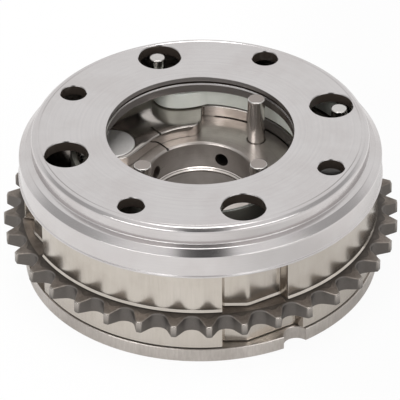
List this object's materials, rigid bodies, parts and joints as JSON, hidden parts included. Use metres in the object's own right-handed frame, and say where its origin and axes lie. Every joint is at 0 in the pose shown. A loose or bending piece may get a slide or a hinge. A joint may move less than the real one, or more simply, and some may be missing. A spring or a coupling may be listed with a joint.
{
  "type": "cam phaser",
  "caption": "Vane-type cam phaser with a chain sprocket round its drum, a stepped front cover, a spiral spring and a rotor that turns inside to shift the camshaft's timing",
  "frame": {"origin": "on the cam axis, in the plane of the rear plate's back face", "axes": "+Z along the cam axis towards the front cover, -Y towards the camera, +X to the picture's right"},
  "size_m": [0.0968, 0.0968, 0.037],
  "materials": {
    "turned_steel": "turned, satin",
    "rear_steel": "turned, satin",
    "drum_front_steel": "ground to a mirror, warm tint",
    "drum_rear_steel": "ground to a mirror, warm tint",
    "sintered_teeth": "sintered and hardened, dark oxide, tooth edges rubbed bright",
    "ground_plate": "ground flat, near mirror",
    "bush_steel": "lapped",
    "spring_strip": "bright rolled strip",
    "spring_pin_steel": "ground pin with a chamfered end",
    "screw_steel": "black oxide",
    "hub_steel": "machined, darkened by heat treatment",
    "sleeve_steel": "honed",
    "drive_pin_steel": "ground pin with a chamfered end",
    "seal_plastic": "filled thermoplastic",
    "lock_pin_steel": "ground",
    "lock_wire": "drawn wire"
  },
  "bodies": {
    "housing": {"front_cover": "turned_steel", "rear_plate": "rear_steel", "front_drum": "drum_front_steel", "rear_drum": "drum_rear_steel", "sprocket": "sintered_teeth", "seal_plate": "ground_plate", "lock_bush": "bush_steel", "spiral_spring": "spring_strip", "spring_pin_1": "spring_pin_steel", "spring_pin_2": "spring_pin_steel", "clamp_screw_1": "screw_steel", "clamp_screw_2": "screw_steel", "clamp_screw_3": "screw_steel", "clamp_screw_4": "screw_steel"},
    "rotor": {"rotor": "hub_steel", "bore_sleeve": "sleeve_steel", "drive_pin_1": "drive_pin_steel", "drive_pin_2": "drive_pin_steel", "drive_pin_3": "drive_pin_steel", "vane_seal_1": "seal_plastic", "vane_seal_2": "seal_plastic", "vane_seal_3": "seal_plastic", "vane_seal_4": "seal_plastic"},
    "lock": {"lock_pin": "lock_pin_steel", "lock_spring": "lock_wire"}
  },
  "joints": [
    {"name": "phase", "type": "hinge", "parent": "housing", "child": "rotor", "pos_m": [0, 0, 0.01], "axis": [0, 0, 1], "range_deg": [-30, 0], "stiffness_Nm_per_rad": 0.6, "springref_deg": 28.65},
    {"name": "lock_slide", "type": "slide", "parent": "rotor", "child": "lock", "axis": [0, 0, 1], "range_m": [-0.0025, 0], "stiffness_N_per_m": 1500, "springref_m": 0.004, "deforming": ["lock_spring"]}
  ]
}
